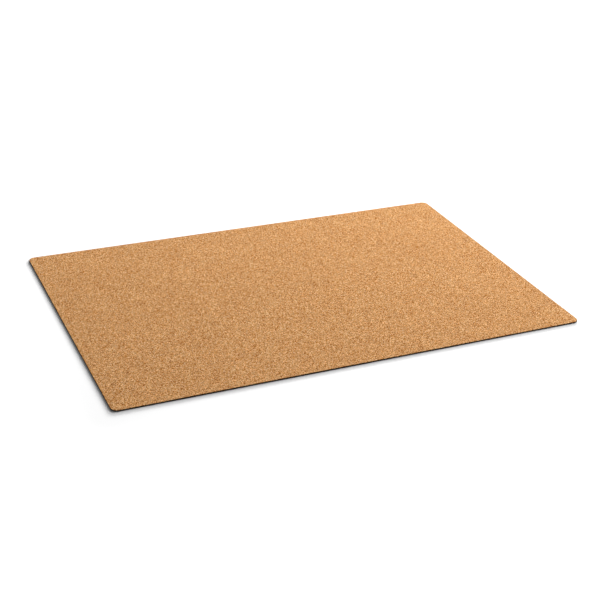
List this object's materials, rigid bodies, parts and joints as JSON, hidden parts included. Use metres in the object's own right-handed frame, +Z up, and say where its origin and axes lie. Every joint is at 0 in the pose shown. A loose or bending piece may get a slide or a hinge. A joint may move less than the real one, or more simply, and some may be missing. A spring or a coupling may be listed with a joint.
{
  "type": "desk mat",
  "caption": "Thin rectangular desk mat with rounded corners: a fine-grained cork face bonded to a black non-slip rubber base.",
  "frame": {"origin": "on the surface the mat lies on, under the middle of the mat", "axes": "+X along the long side, +Y along the short side, away from the user, +Z up out of the cork face"},
  "size_m": [0.6, 0.4, 0.002],
  "materials": {
    "cork": "matt, fine agglomerated cork granules with darker specks, unlacquered",
    "adhesive": "thin dark film of contact adhesive, seen only as a hair line on the cut edge",
    "rubber": "matt black dense foam rubber, fine non-slip texture underneath, die-cut edge"
  },
  "bodies": {
    "root": {"cork_face_sheet": "cork", "bonding_film": "adhesive", "rubber_base": "rubber"}
  },
  "joints": []
}
